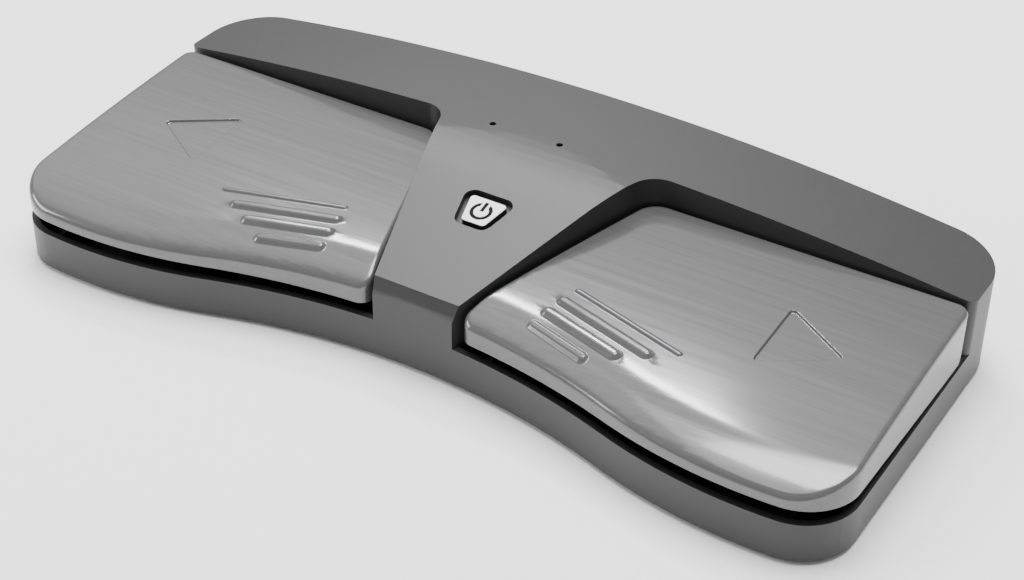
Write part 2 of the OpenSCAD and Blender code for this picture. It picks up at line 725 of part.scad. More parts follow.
module battery_pad() {
    color("#303033") lift() translate([-battery_x - battery_l / 2 + 2, battery_y - battery_w / 2 + 2, plate_top])
        cube([battery_l - 4, battery_w - 4, pad_t]);
}
module battery_lead() {
    x0 = -battery_x + battery_l / 2;
    z = plate_top + pad_t + battery_h / 2;
    color("#b03030") lift() for (y = [lead_y - lead_pitch / 2, lead_y + lead_pitch / 2]) {
        translate([x0, y, z]) rotate([0, 90, 0]) cylinder(r = 0.6, h = battery_plug_x - x0);
        translate([battery_plug_x, y, z]) sphere(r = 0.6);
        disc(battery_plug_x, y, z, board_h - plug_h, 0.6);
    }
}
module battery_plug() {
    color("#e6e2d6") lift() translate([battery_plug_x - 3, lead_y - 2.5, board_h - plug_h])
        cube([6, 5, plug_h]);
}

echo(least_coil_gap = min([for (t = [0 : 0.05 : spring_turns - 1]) coil_z(t + 1) - coil_z(t)]) - wire_d);

upper_housing();
base_plate();
housing_screws();
rubber_feet();
pedal_plate(-1);  // left_pedal_plate
pedal_plate(1);  // right_pedal_plate
pedal_carrier(-1);  // left_pedal_carrier
pedal_carrier(1);  // right_pedal_carrier
pedal_screws(-1);  // left_pedal_screws
pedal_screws(1);  // right_pedal_screws
hinge_rod(-1);  // left_hinge_rod
hinge_rod(1);  // right_hinge_rod
return_spring(-1);  // left_return_spring
return_spring(1);  // right_return_spring
bumpers(-1);  // left_bumpers
bumpers(1);  // right_bumpers
rest_pads(-1);  // left_rest_pads
rest_pads(1);  // right_rest_pads
switch_board(-1);  // left_switch_board
switch_board(1);  // right_switch_board
pedal_switch(-1);  // left_pedal_switch
pedal_switch(1);  // right_pedal_switch
switch_plunger(-1);  // left_switch_plunger
switch_plunger(1);  // right_switch_plunger
flat_lead(-1);  // left_flat_lead
flat_lead(1);  // right_flat_lead
lead_plug(-1);  // left_lead_plug
lead_plug(1);  // right_lead_plug
power_button();
power_symbol();
button_guide();
power_switch();
power_plunger();
light_pipes();
status_leds();
main_board();
board_screws();
radio_module();
usb_socket();
battery();
battery_pad();
battery_lead();
battery_plug();
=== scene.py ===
import json
import math

import bmesh
import bpy
from mathutils import Matrix, Quaternion, Vector

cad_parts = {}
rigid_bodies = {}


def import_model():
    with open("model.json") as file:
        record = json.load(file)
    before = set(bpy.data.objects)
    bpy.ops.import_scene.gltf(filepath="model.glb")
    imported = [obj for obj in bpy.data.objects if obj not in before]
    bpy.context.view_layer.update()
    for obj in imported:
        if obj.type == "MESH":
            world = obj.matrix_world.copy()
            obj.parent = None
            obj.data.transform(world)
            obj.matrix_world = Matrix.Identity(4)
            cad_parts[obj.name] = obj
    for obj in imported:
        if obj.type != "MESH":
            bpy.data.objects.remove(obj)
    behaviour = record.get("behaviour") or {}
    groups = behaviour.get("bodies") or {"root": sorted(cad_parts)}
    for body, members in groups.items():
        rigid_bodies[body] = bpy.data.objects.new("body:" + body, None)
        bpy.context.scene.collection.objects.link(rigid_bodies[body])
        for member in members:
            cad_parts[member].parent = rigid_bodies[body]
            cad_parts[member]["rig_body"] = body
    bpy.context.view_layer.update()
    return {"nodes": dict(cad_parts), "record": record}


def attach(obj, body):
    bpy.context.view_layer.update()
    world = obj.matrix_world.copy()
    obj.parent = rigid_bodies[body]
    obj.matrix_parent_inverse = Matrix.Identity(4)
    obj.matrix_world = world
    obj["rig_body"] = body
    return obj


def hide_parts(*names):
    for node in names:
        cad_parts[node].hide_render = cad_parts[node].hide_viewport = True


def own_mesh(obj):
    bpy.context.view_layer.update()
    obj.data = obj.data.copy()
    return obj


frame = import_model()
NODES = frame["nodes"]
SIDES = ("left", "right")
MM = 0.001
# Spacing of the cuts that keep the housing's long faces even, and how near a cut may fall to a vertex
GRID, NEAR = 4 * MM, 0.01 * MM
# The way the power button slides, square to the console, and how far out its top lies along it
CAP_UP = Vector((0, -0.2315, 0.9728))
CAP_TOP = max(CAP_UP.dot(vert.co) for vert in NODES["power_button"].data.vertices)


# ---------------------------------------------------------------- camera, floor and lights
def place_camera():
    # Distance, bearing, height and lens were fitted to the outline of the pedal.
    azimuth, elevation, roll = math.radians(31.245), math.radians(35.183), math.radians(0.669)
    target, distance = Vector((10.93, -7.93, 11.5)) * MM, 0.6153
    back = Vector((math.sin(azimuth) * math.cos(elevation), -math.cos(azimuth) * math.cos(elevation),
                   math.sin(elevation)))
    right = Vector((math.cos(azimuth), math.sin(azimuth), 0))
    up = back.cross(right)
    data = bpy.data.cameras.new("camera")
    data.lens, data.sensor_width = 72.16, 36
    data.clip_start, data.clip_end = 0.01, 20
    camera = bpy.data.objects.new("camera", data)
    bpy.context.scene.collection.objects.link(camera)
    turn = Matrix((right * math.cos(roll) + up * math.sin(roll),
                   up * math.cos(roll) - right * math.sin(roll), back)).transposed().to_4x4()
    camera.matrix_world = Matrix.Translation(target + back * distance) @ turn
    bpy.context.scene.camera = camera


def softbox(name, place, size, watts, tilt=0):
    """A rectangular lamp aimed at the pedal's middle; tilt turns it about its own aim, in degrees."""
    data = bpy.data.lights.new(name, "AREA")
    data.shape, data.size, data.size_y = "RECTANGLE", size[0], size[1]
    data.energy = watts
    lamp = bpy.data.objects.new(name, data)
    bpy.context.scene.collection.objects.link(lamp)
    lamp.location = place
    aim = (-Vector(place)).to_track_quat("-Z", "Y")
    lamp.rotation_euler = (aim @ Quaternion((0, 0, 1), math.radians(tilt))).to_euler()


def light_studio():
    world = bpy.data.worlds.new("studio")
    bpy.context.scene.world = world
    world.use_nodes = True
    tree = world.node_tree
    # A white room, brightest on its wall behind the pedal to the left, as the gloss in the photograph shows
    facing = add(tree, "ShaderNodeVectorMath", {"operation": "DOT_PRODUCT"})
    tree.links.new(add(tree, "ShaderNodeTexCoord").outputs["Generated"], facing.inputs[0])
    facing.inputs[1].default_value = (-0.45, 0.3, 0.84)
    level = add(tree, "ShaderNodeMapRange", {"interpolation_type": "SMOOTHSTEP"},
                {"Value": facing.outputs["Value"], "From Min": 0.86, "From Max": 0.95,
                 "To Min": 0.5, "To Max": 2.1})
    tree.links.new(level.outputs["Result"], tree.nodes["Background"].inputs["Strength"])
    tree.nodes["Background"].inputs["Color"].default_value = (1, 1, 1, 1)
    softbox("from_the_right", (0.08, 0.3, 1.78), (1.2, 1.1), 50)
    softbox("overhead", (-0.25, -0.1, 1.7), (1.1, 0.8), 8)
    softbox("from_the_left", (-1.3, -0.7, 0.6), (0.7, 0.5), 10)
    # A narrow one, seen as the bright band where each pedal's front rolls down
    softbox("behind_left", (-0.478, 0.588, 0.93), (0.4, 0.1), 6.4, tilt=-28)


def lay_floor():
    bpy.ops.object.select_all(action="DESELECT")
    bpy.ops.mesh.primitive_plane_add(size=8, location=(0, 0, 0))
    floor = bpy.context.object
    floor.name = "floor"
    floor.data.materials.append(moulded("painted_board", "#fcfcfc", 0.9, grain=1.2, depth=0, drift=0.0,
                                        swing=(0.01, 0.02)))


# ---------------------------------------------------------------- materials
def linear(hex_value):
    parts = [int(hex_value[i:i + 2], 16) / 255 for i in (1, 3, 5)]
    return tuple(c / 12.92 if c <= 0.04045 else ((c + 0.055) / 1.055) ** 2.4 for c in parts) + (1,)


def add(tree, kind, settings=None, inputs=None):
    """One node with its settings; an input is a value or another node's output."""
    made = tree.nodes.new(kind)
    for key, value in (settings or {}).items():
        setattr(made, key, value)
    for key, value in (inputs or {}).items():
        if isinstance(value, bpy.types.NodeSocket):
            tree.links.new(value, made.inputs[key])
        else:
            made.inputs[key].default_value = value
    return made


def start(name, colour, rough, metallic=0.0, ior=1.5, coat=0.0):
    material = bpy.data.materials.new(name)
    material.use_nodes = True
    tree = material.node_tree
    shader = tree.nodes["Principled BSDF"]
    shader.inputs["Base Color"].default_value = linear(colour)
    shader.inputs["Roughness"].default_value = rough
    shader.inputs["Metallic"].default_value = metallic
    shader.inputs["IOR"].default_value = ior
    shader.inputs["Coat Weight"].default_value = coat
    material.diffuse_color = linear(colour)
    return material, tree, shader


def vary(tree, shader, colour, rough, pattern, swing, depth, span=(0.3, 0.7)):
    """Lets one pattern move the colour, the gloss and the height of a surface.
    swing is how far colour and roughness go either way; depth is the pattern's height in mm."""
    reach = {"Value": pattern, "From Min": span[0], "From Max": span[1]}
    tone = add(tree, "ShaderNodeMapRange", None, {**reach, "To Min": 1 - swing[0], "To Max": 1 + swing[0]})
    base = add(tree, "ShaderNodeMixRGB", {"blend_type": "MULTIPLY"},
               {"Fac": 1.0, "Color1": colour, "Color2": tone.outputs["Result"]})
    tree.links.new(base.outputs["Color"], shader.inputs["Base Color"])
    gloss = add(tree, "ShaderNodeMapRange", None,
                {**reach, "To Min": rough - swing[1], "To Max": rough + swing[1]})
    tree.links.new(gloss.outputs["Result"], shader.inputs["Roughness"])
    if depth:
        bump = add(tree, "ShaderNodeBump", None,
                   {"Height": pattern, "Strength": 0.4, "Distance": depth * MM})
        tree.links.new(bump.outputs["Normal"], shader.inputs["Normal"])


def moulded(name, colour, rough, grain=0.5, swing=(0.04, 0.05), depth=0.012, drift=0.06, **more):
    """A moulded or painted surface: a spark-eroded grain of that many mm, and a slow drift in tone."""
    material, tree, shader = start(name, colour, rough, **more)
    place = add(tree, "ShaderNodeTexCoord").outputs["Object"]
    pits = add(tree, "ShaderNodeTexNoise", None,
               {"Vector": place, "Scale": 1 / (grain * MM), "Detail": 2.0})
    slow = add(tree, "ShaderNodeTexNoise", None, {"Vector": place, "Scale": 1 / (60 * MM), "Detail": 3.0})
    drifted = add(tree, "ShaderNodeMixRGB", {"blend_type": "MULTIPLY"},
                  {"Fac": drift, "Color1": linear(colour), "Color2": slow.outputs["Color"]})
    vary(tree, shader, drifted.outputs["Color"], rough, pits.outputs["Fac"], swing, depth)
    return material


def brushed_aluminium(name, colour, rough):
    """Anodised sheet brushed along its length. The oxide skin scatters about half of the light, so the
    plate keeps one even grey and a lamp shows as a soft band. Hairlines 25 to 80 mm long; the real ones
    are 0.1 mm wide, these 0.35 mm so that they show in the render."""
    material, tree, shader = start(name, colour, rough, metallic=0.5, ior=1.3)
    place = add(tree, "ShaderNodeTexCoord").outputs["Object"]
    drawn = [add(tree, "ShaderNodeMapping", None, {"Vector": place, "Scale": scale}).outputs["Vector"]
             for scale in ((30, 2800, 2800), (9, 520, 520))]
    hair, band = [add(tree, "ShaderNodeTexNoise", None, {"Vector": run, "Scale": 1.0, "Detail": 2.0})
                  for run in drawn]
    both = add(tree, "ShaderNodeMix", None,
               {"Factor": 0.4, "A": hair.outputs["Fac"], "B": band.outputs["Fac"]})
    vary(tree, shader, linear(colour), rough, both.outputs["Result"], (0.08, 0.03), 0.008, (0.34, 0.66))
    return material


def drawn_steel(name, colour, rough, scratch=0.8):
    """Turned, pressed or drawn steel: fine scratches that cross every way, stretched along their run."""
    material, tree, shader = start(name, colour, rough, metallic=1.0)
    place = add(tree, "ShaderNodeTexCoord").outputs["Object"]
    run = add(tree, "ShaderNodeMapping", None, {"Vector": place, "Scale": (300 / scratch, 1600 / scratch,
                                                                        1600 / scratch)})
    marks = add(tree, "ShaderNodeTexNoise", None,
                {"Vector": run.outputs["Vector"], "Scale": 1.0, "Detail": 4.0})
    vary(tree, shader, linear(colour), rough, marks.outputs["Fac"], (0.1, 0.07), 0.006)
    return material


def circuit_board(name):
    """Green solder mask over glass epoxy: darker lands between copper runs, under a glossy skin."""
    material, tree, shader = start(name, "#1c5a33", 0.28, coat=0.3)
    place = add(tree, "ShaderNodeTexCoord").outputs["Object"]
    runs = add(tree, "ShaderNodeTexBrick", {"offset": 0.37}, {
        "Vector": place, "Color1": linear("#1f6639"), "Color2": linear("#1a5731"),
        "Mortar": linear("#2f8350"), "Scale": 1 / (14 * MM),
        "Mortar Size": 0.02, "Brick Width": 0.5, "Row Height": 0.13})
    weave = add(tree, "ShaderNodeTexNoise", None, {"Vector": place, "Scale": 1 / (0.4 * MM), "Detail": 2.0})
    vary(tree, shader, runs.outputs["Color"], 0.28, weave.outputs["Fac"], (0.05, 0.05), 0.01)
    return material


def capped_key(name):
    """The power button: satin white ABS on top, its sides painted near black as shade, so they read as the
    dark shadowed gap round it.
    """
    material, tree, shader = start(name, "#f0f0f1", 0.3)
    place = add(tree, "ShaderNodeTexCoord").outputs["Object"]
    rise = add(tree, "ShaderNodeVectorMath", {"operation": "DOT_PRODUCT"}, {0: place})
    rise.inputs[1].default_value = CAP_UP
    top = add(tree, "ShaderNodeMapRange", None,
              {"Value": rise.outputs["Value"],
               "From Min": CAP_TOP - 0.28 * MM, "From Max": CAP_TOP - 0.2 * MM})
    # Below its top the cap is painted near black: painted shade for the shadowed gap round the cap
    two = add(tree, "ShaderNodeMixRGB", None, {"Fac": top.outputs["Result"], "Color1": linear("#131314"),
                                               "Color2": linear("#f0f0f1")})
    fine = add(tree, "ShaderNodeTexNoise", None, {"Vector": place, "Scale": 1 / (0.4 * MM), "Detail": 2.0})
    vary(tree, shader, two.outputs["Color"], 0.32, fine.outputs["Fac"], (0.02, 0.04), 0.004)
    return material


def foam(name):
    """Closed-cell foam: cells 0.6 mm across that catch no light."""
    material, tree, shader = start(name, "#2b2b2d", 0.95)
    place = add(tree, "ShaderNodeTexCoord").outputs["Object"]
    cells = add(tree, "ShaderNodeTexVoronoi", None, {"Vector": place, "Scale": 1 / (0.6 * MM)})
    vary(tree, shader, linear("#2b2b2d"), 0.92, cells.outputs["Distance"], (0.3, 0.05), 0.15, (0.1, 0.6))
    return material


def mix_finishes():
    """One finish for each material slot of the record."""
    return {
        # ABS with a spark-eroded grain: mid grey, spreads the light, sharpens only at a glancing angle
        "housing_plastic": moulded("moulded_abs_grey", "#252525", 0.44, grain=0.45, ior=1.54),
        # ABS off a plain tool, unpainted: near black, a little glossier
        "base_plastic": moulded("moulded_abs_black", "#2c2c2e", 0.5, grain=0.6),
        "brushed_aluminium": brushed_aluminium("anodised_brushed_aluminium", "#69696a", 0.13),
        # Glass-filled nylon: dark and dull, with the fibres' mottle
        "carrier_plastic": moulded("glass_filled_nylon", "#39393b", 0.6, grain=0.9, swing=(0.12, 0.08),
                                   depth=0.03),
        # Zinc plate: bright grey with a soft gloss
        "screw_steel": drawn_steel("zinc_plated_steel", "#8f9194", 0.34),
        # Ground and polished rod and spring wire: nearly a mirror
        "rod_steel": drawn_steel("polished_spring_steel", "#c9cacc", 0.18, scratch=0.5),
        # Moulded rubber: black without a highlight
        "black_rubber": moulded("moulded_rubber", "#1b1b1c", 0.85, grain=0.8, swing=(0.1, 0.06),
                                depth=0.03),
        "board_green": circuit_board("solder_masked_glass_epoxy"),
        # PBT, as in small switches: black, fine and even
        "switch_black": moulded("moulded_pbt_black", "#202022", 0.55, grain=0.3),
        # Acetal: waxy, with a broad sheen
        "plunger_orange": moulded("moulded_acetal_orange", "#c2562a", 0.3, grain=0.3, depth=0.004),
        # PVC ribbon: soft white with a slight sheen
        "lead_white": moulded("pvc_ribbon_white", "#dcdcdd", 0.45, grain=1.2, depth=0.02),
        # Unfilled nylon of connector housings: cream, slightly waxy
        "plug_cream": moulded("moulded_nylon_natural", "#e6dfc8", 0.4, grain=0.5),
        # Satin white ABS: the cap a finger polishes, its sides painted near black as shade for the gap
        # round it
        "button_white": capped_key("moulded_abs_white_with_painted_shade_sides"),
        # Black paint filled into the cap's groove
        "symbol_black": moulded("black_groove_paint", "#060606", 0.6, grain=0.3, ior=1.2),
        # Smoked polycarbonate: black until the light behind it is on
        "pipe_dark": moulded("smoked_polycarbonate", "#040404", 0.3, grain=1.5, depth=0, ior=1.2),
        # Cast epoxy over a chip: cloudy white
        "led_white": moulded("cast_epoxy_white", "#f4f1e0", 0.15, grain=0.7, depth=0, ior=1.54),
        # Tinned steel can: pale, pressed and slightly rippled
        "can_metal": drawn_steel("tinned_steel", "#b9babc", 0.3, scratch=1.4),
        # Wrapped foil pouch: dull blue grey that creases
        "battery_grey": moulded("laminated_foil_pouch", "#5d6a76", 0.38, grain=6, swing=(0.05, 0.1),
                                depth=0.25, metallic=0.4),
        "pad_foam": foam("closed_cell_foam"),
        # PVC over stranded wire: red and slightly glossy
        "wire_red": moulded("pvc_insulation_red", "#a32626", 0.35, grain=1.0, depth=0.01),
    }


# ---------------------------------------------------------------- pieces shaped from the CAD solids
def copied(name, suffix, weld=0.004):
    """The node's mesh as a piece of its own, its loose triangles welded."""
    bpy.ops.object.select_all(action="DESELECT")
    source = NODES[name]
    piece = source.copy()
    piece.data = source.data.copy()
    piece.parent = None
    piece.name = name + suffix
    for key in list(piece.keys()):
        del piece[key]
    bpy.context.scene.collection.objects.link(piece)
    bpy.context.view_layer.objects.active = piece
    piece.select_set(True)
    bpy.ops.object.mode_set(mode="EDIT")
    bpy.ops.mesh.select_all(action="SELECT")
    bpy.ops.mesh.remove_doubles(threshold=weld * MM)
    bpy.ops.object.mode_set(mode="OBJECT")
    return piece


def settle(piece, name, smooth=28):
    """Stands the piece in for its CAD node: same body, same finish. smooth is in degrees."""
    bpy.ops.object.shade_smooth_by_angle(angle=math.radians(smooth))
    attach(piece, NODES[name]["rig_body"])
    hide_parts(name)
    dress(piece, SLOT[name])
    return piece


def softened(name, width, segments=3, angle=32, dissolve=0.6):
    """A copy of a CAD node with its arrises rounded, width mm across, as the mould leaves them.
    Edges turning more than angle are rounded; facets turning less than dissolve are one face first."""
    piece = copied(name, "_moulding")
    bpy.ops.object.mode_set(mode="EDIT")
    bpy.ops.mesh.select_all(action="SELECT")
    bpy.ops.mesh.dissolve_limited(angle_limit=math.radians(dissolve))
    bpy.ops.object.mode_set(mode="OBJECT")
    bevel = piece.modifiers.new("round", "BEVEL")
    bevel.width, bevel.segments = width * MM, segments
    bevel.limit_method, bevel.angle_limit = "ANGLE", math.radians(angle)
    bevel.use_clamp_overlap = True
    bpy.ops.object.modifier_apply(modifier="round")
    bpy.ops.object.mode_set(mode="EDIT")
    # Even cuts over the whole part keep the shading of the long curved faces smooth.
    for axis, low, high in ((0, -0.138, 0.14), (1, -0.06, 0.0625)):
        steps = round((high - low) / GRID)
        for i in range(1, steps):
            place, normal = [0, 0, 0], [0, 0, 0]
            place[axis], normal[axis] = low + (high - low) * i / steps, 1
            bpy.ops.mesh.select_all(action="SELECT")
            bpy.ops.mesh.bisect(plane_co=place, plane_no=normal, threshold=NEAR)
    bpy.ops.object.mode_set(mode="OBJECT")
    settle(piece, name)
    even = piece.modifiers.new("even", "WEIGHTED_NORMAL")
    even.keep_sharp = True
    bpy.ops.object.modifier_apply(modifier="even")
    return piece


def dress(piece, slot):
    piece.data.materials.clear()
    piece.data.materials.append(FINISH[slot])


def wind_springs():
    """The return springs with round wire."""
    for side in SIDES:
        name = side + "_return_spring"
        piece = copied(name, "_coil")
        rounding = piece.modifiers.new("round", "SUBSURF")
        rounding.levels = rounding.render_levels = 2
        bpy.ops.object.modifier_apply(modifier="round")
        settle(piece, name, smooth=60)
        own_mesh(piece)


# ---------------------------------------------------------------- pedal plates
# Sizes in mm, heights above the housing's underside, as in the CAD source; drawn for the right pedal.
BODY_W, FOOT_DROP = 280.0, 1.5
WAIST_Y, WAIST_R, LOBE_R, LOBE_X, FRONT_CORNER_R = 44.8, 222.0, 149.0, 68.0, 17.4
CONSOLE_W, CONSOLE_FLARE, CONSOLE_CORNER_R = 13.8, 0.31, 9.5
SIDE_GAP, PEDAL_INSET, PEDAL_REAR_Y, PEDAL_CORNER_R = 1.2, 0.3, 28.5, 4.0
PEDAL_H, PEDAL_SLOPE, CROWN_R = 31.3, math.radians(2.4), 1265.0
# The rolled front: how far in from the edge it starts, its radius, its lift, and the blend into the crown
ROLL_W, ROLL_R, ROLL_LIFT, ROLL_BLEND = 16.5, 35.0, 0.12, 0.5
HINGE_Y, HINGE_H, SKIRT_H, TRAVEL = 22.0, 8.8, 13.4, math.radians(2.3)
PLATE_T, SKIRT_T = 2.0, 1.8
EDGE_R, EDGE_STEPS, FOOT_R, FOOT_STEPS = 1.5, 7, 0.35, 4
# The grip bars: the first one's start, the step to the next, length, how much shorter each is, height,
# and half the width of the flat top
RIB_ANGLE = math.radians(15)
RIB_START, RIB_STEP, RIB_L, RIB_SHORTER = (40.7, -20.5), (-1.3, -5.9 / math.cos(RIB_ANGLE)), 38.9, 6.6
RIB_RISE, RIB_TOP = (0.6, 1.2, 1.3, 1.0), (0.15, 0.4, 0.45, 0.4)
TRIANGLE = ((118.7, -10.4), (96.4, 3.1), (96.4, -23.9))
TRIANGLE_ROUND, TRIANGLE_WALL, TRIANGLE_D = 1.4, 0.45, 0.7
# Where a bar's side and a triangle's wall are cut: shares of the side, and mm from the triangle's edge
RIB_CUTS = (0, 0.15, 0.3, 0.45, 0.6, 0.75, 0.85, 0.93, 1, 1.1)
WALL_CUTS = (0.12, 0, -0.05, -0.1, -0.15, -0.2, -0.25, -0.3, -0.35, -0.4, -0.45, -0.57)
# Spacing of the cuts over the rest of the plate, and at the triangle's corners
PLATE_GRID, CORNER_GRID = 1.5, 0.23
BOSSES = ((48, 10), (120, 6), (48, -22), (118, -30))
BOSS_R, BOSS_HOLE_R, BOSS_FOOT, BOSS_HOLE, BOSS_SIDES = 3.2, 1.27, 15.6, 4.5, 32
# Shares of a bar's side that its round shoulder and its tight foot take, and the slope between them
SHOULDER, FOOT = 0.45, 0.2
STEEP = 1 / (1 - (SHOULDER + FOOT) / 2)

waist_c = Vector((0, -WAIST_Y - WAIST_R))
lobe_a = math.asin(LOBE_X / WAIST_R)
lobe_c = waist_c + (WAIST_R + LOBE_R) * Vector((math.sin(lobe_a), math.cos(lobe_a)))
crown_c = (PEDAL_REAR_Y + CROWN_R * math.sin(PEDAL_SLOPE), PEDAL_H - CROWN_R * math.cos(PEDAL_SLOPE))
touch_y = -WAIST_Y - 2
touch_a = math.asin((crown_c[0] - touch_y) / CROWN_R)
touch_z = crown_c[1] + CROWN_R * math.cos(touch_a)


def arc_points(centre, radius, start, end, count):
    """Points from one angle to just short of the other, in radians."""
    turns = [start + (end - start) * i / count for i in range(count)]
    return [Vector((centre[0] + radius * math.cos(turn), centre[1] + radius * math.sin(turn)))
            for turn in turns]


def line_points(first, last, count):
    return [Vector(first).lerp(Vector(last), i / count) for i in range(count)]


def pedal_outline(inset=0.0):
    """The right pedal's plan, drawn in by inset, always with the same number of points."""
    flare = math.atan(CONSOLE_FLARE)
    inward = PEDAL_INSET + inset
    corner_x = BODY_W / 2 - FRONT_CORNER_R
    from_lobe = math.sqrt((LOBE_R - FRONT_CORNER_R) ** 2 - (corner_x - lobe_c.x) ** 2)
    corner_c = Vector((corner_x, lobe_c.y - from_lobe))
    corner_a = math.atan2(corner_c.y - lobe_c.y, corner_c.x - lobe_c.x)
    beside = lambda y, gap: CONSOLE_W + CONSOLE_FLARE * (y + WAIST_Y) + gap / math.cos(flare)
    # Centre of the rounded corner between the console and the front edge
    near = Vector((20, -40))
    for _ in range(12):
        near.x = beside(near.y, SIDE_GAP + PEDAL_CORNER_R)
        near.y = waist_c.y + math.sqrt((WAIST_R + PEDAL_INSET + PEDAL_CORNER_R) ** 2 - near.x ** 2)
    near_a = math.atan2(near.y - waist_c.y, near.x)
    back_r = CONSOLE_CORNER_R - SIDE_GAP
    back = Vector((beside(PEDAL_REAR_Y, SIDE_GAP) + back_r / math.cos(flare) - back_r * math.tan(flare),
                   PEDAL_REAR_Y - back_r))
    end = Vector((BODY_W / 2 - PEDAL_INSET - PEDAL_CORNER_R, PEDAL_REAR_Y - PEDAL_CORNER_R))
    side_x, rear_y = BODY_W / 2 - inward, PEDAL_REAR_Y - inset
    inner = Vector((-math.cos(flare), math.sin(flare)))
    points = arc_points(waist_c, WAIST_R + inward, near_a, math.pi / 2 - lobe_a, 44)
    points += arc_points(lobe_c, LOBE_R - inward, 1.5 * math.pi - lobe_a, 2 * math.pi + corner_a, 56)
    points += arc_points(corner_c, FRONT_CORNER_R - inward, corner_a, 0, 24)
    points += line_points((side_x, corner_c.y), (side_x, end.y), 46)
    points += arc_points(end, PEDAL_CORNER_R - inset, 0, math.pi / 2, 8)
    points += line_points((end.x, rear_y), (back.x, rear_y), 70)
    points += arc_points(back, back_r - inset, math.pi / 2, math.pi - flare, 14)
    points += line_points(back + inner * (back_r - inset), near + inner * (PEDAL_CORNER_R - inset), 46)
    points += arc_points(near, PEDAL_CORNER_R - inset, math.pi - flare, near_a + math.pi, 9)
    return points


def pedal_height(x, y):
    """The pedal's top: a slight crown that rolls down along the waved front edge."""
    crown = crown_c[1] + math.sqrt(CROWN_R ** 2 - (crown_c[0] - y) ** 2)
    place = Vector((x, touch_y + (y - touch_y) / math.cos(touch_a)))
    from_waist = place - waist_c
    if math.atan2(from_waist.y, from_waist.x) < math.pi / 2 - lobe_a:
        edge = LOBE_R - (place - lobe_c).length
    else:
        edge = from_waist.length - WAIST_R
    sunk = math.sqrt(ROLL_R ** 2 - max(ROLL_W - edge, 0) ** 2) - ROLL_R
    roll = touch_z + math.tan(touch_a) * (y - touch_y) + (ROLL_LIFT + sunk) / math.cos(touch_a)
    blend = max(ROLL_BLEND - abs(roll - crown), 0) / ROLL_BLEND
    return min(roll, crown) - blend ** 2 * ROLL_BLEND / 4


def segment_distance(point, first, last):
    along = last - first
    t = max(0.0, min(1.0, (point - first).dot(along) / along.length_squared))
    return (point - first - along * t).length


def rib_line(k):
    turn = Vector((math.cos(RIB_ANGLE), -math.sin(RIB_ANGLE)))
    first = Vector((RIB_START[0] + RIB_STEP[0] * k, RIB_START[1] + RIB_STEP[1] * k))
    return first, first + turn * (RIB_L - RIB_SHORTER * k)


def rib_spread(rise):
    """How wide the side of a rib of this height is."""
    return 0.15 + 1.45 * rise


def rib_height(point):
    """Four ribs: a narrow flat top, a round shoulder, a straight side and a tight foot."""
    best = 0.0
    for k, rise in enumerate(RIB_RISE):
        away = segment_distance(point, *rib_line(k))
        spread = rib_spread(rise)
        if away < RIB_TOP[k] + spread:
            t = max(0, away - RIB_TOP[k]) / spread
            if t < SHOULDER:
                left = 1 - STEEP * t ** 2 / (2 * SHOULDER)
            elif t < 1 - FOOT:
                left = 1 - STEEP * (t - SHOULDER / 2)
            else:
                left = STEEP * (1 - t) ** 2 / (2 * FOOT)
            best = max(best, rise * left)
    return best


def sunk(point):
    """The triangle: one flat area pressed into the plate, with rounded corners and a steep edge."""
    corners = [Vector(c) for c in TRIANGLE]
    middle = sum(corners, Vector((0, 0))) / 3
    sides = []
    for i in range(3):
        first, last = corners[i], corners[(i + 1) % 3]
        normal = Vector(((last - first).y, -(last - first).x)).normalized()
        if normal.dot(middle - first) > 0:
            normal.negate()
        sides.append((first, normal))
    inner = []
    for i in range(3):
        (a, n), (b, m) = sides[i - 1], sides[i]
        p, q = n.dot(a) - TRIANGLE_ROUND, m.dot(b) - TRIANGLE_ROUND
        cross = n.x * m.y - n.y * m.x
        inner.append(Vector(((p * m.y - q * n.y) / cross, (n.x * q - m.x * p) / cross)))
    away = min(segment_distance(point, inner[i], inner[(i + 1) % 3]) for i in range(3))
    if max(n.dot(point - a) for a, n in sides) < -TRIANGLE_ROUND:
        away = -away
    t = max(0.0, min(1.0, (TRIANGLE_ROUND - away) / TRIANGLE_WALL))
    return TRIANGLE_D * t * t * (3 - 2 * t)


def cut(bm, faces, place, normal):
    """Cuts these faces along one upright plane."""
    geometry = set(faces)
    for face in faces:
        geometry.update(face.edges)
        geometry.update(face.verts)
    bmesh.ops.bisect_plane(bm, geom=list(geometry), dist=0.002, plane_co=(place[0], place[1], 0),
                           plane_no=(normal[0], normal[1], 0))


def flat_faces(bm, keep):
    """The faces still being cut, marked by their material number, whose centre passes the test."""
    return [f for f in bm.faces if f.material_index and keep(f.calc_center_median())]


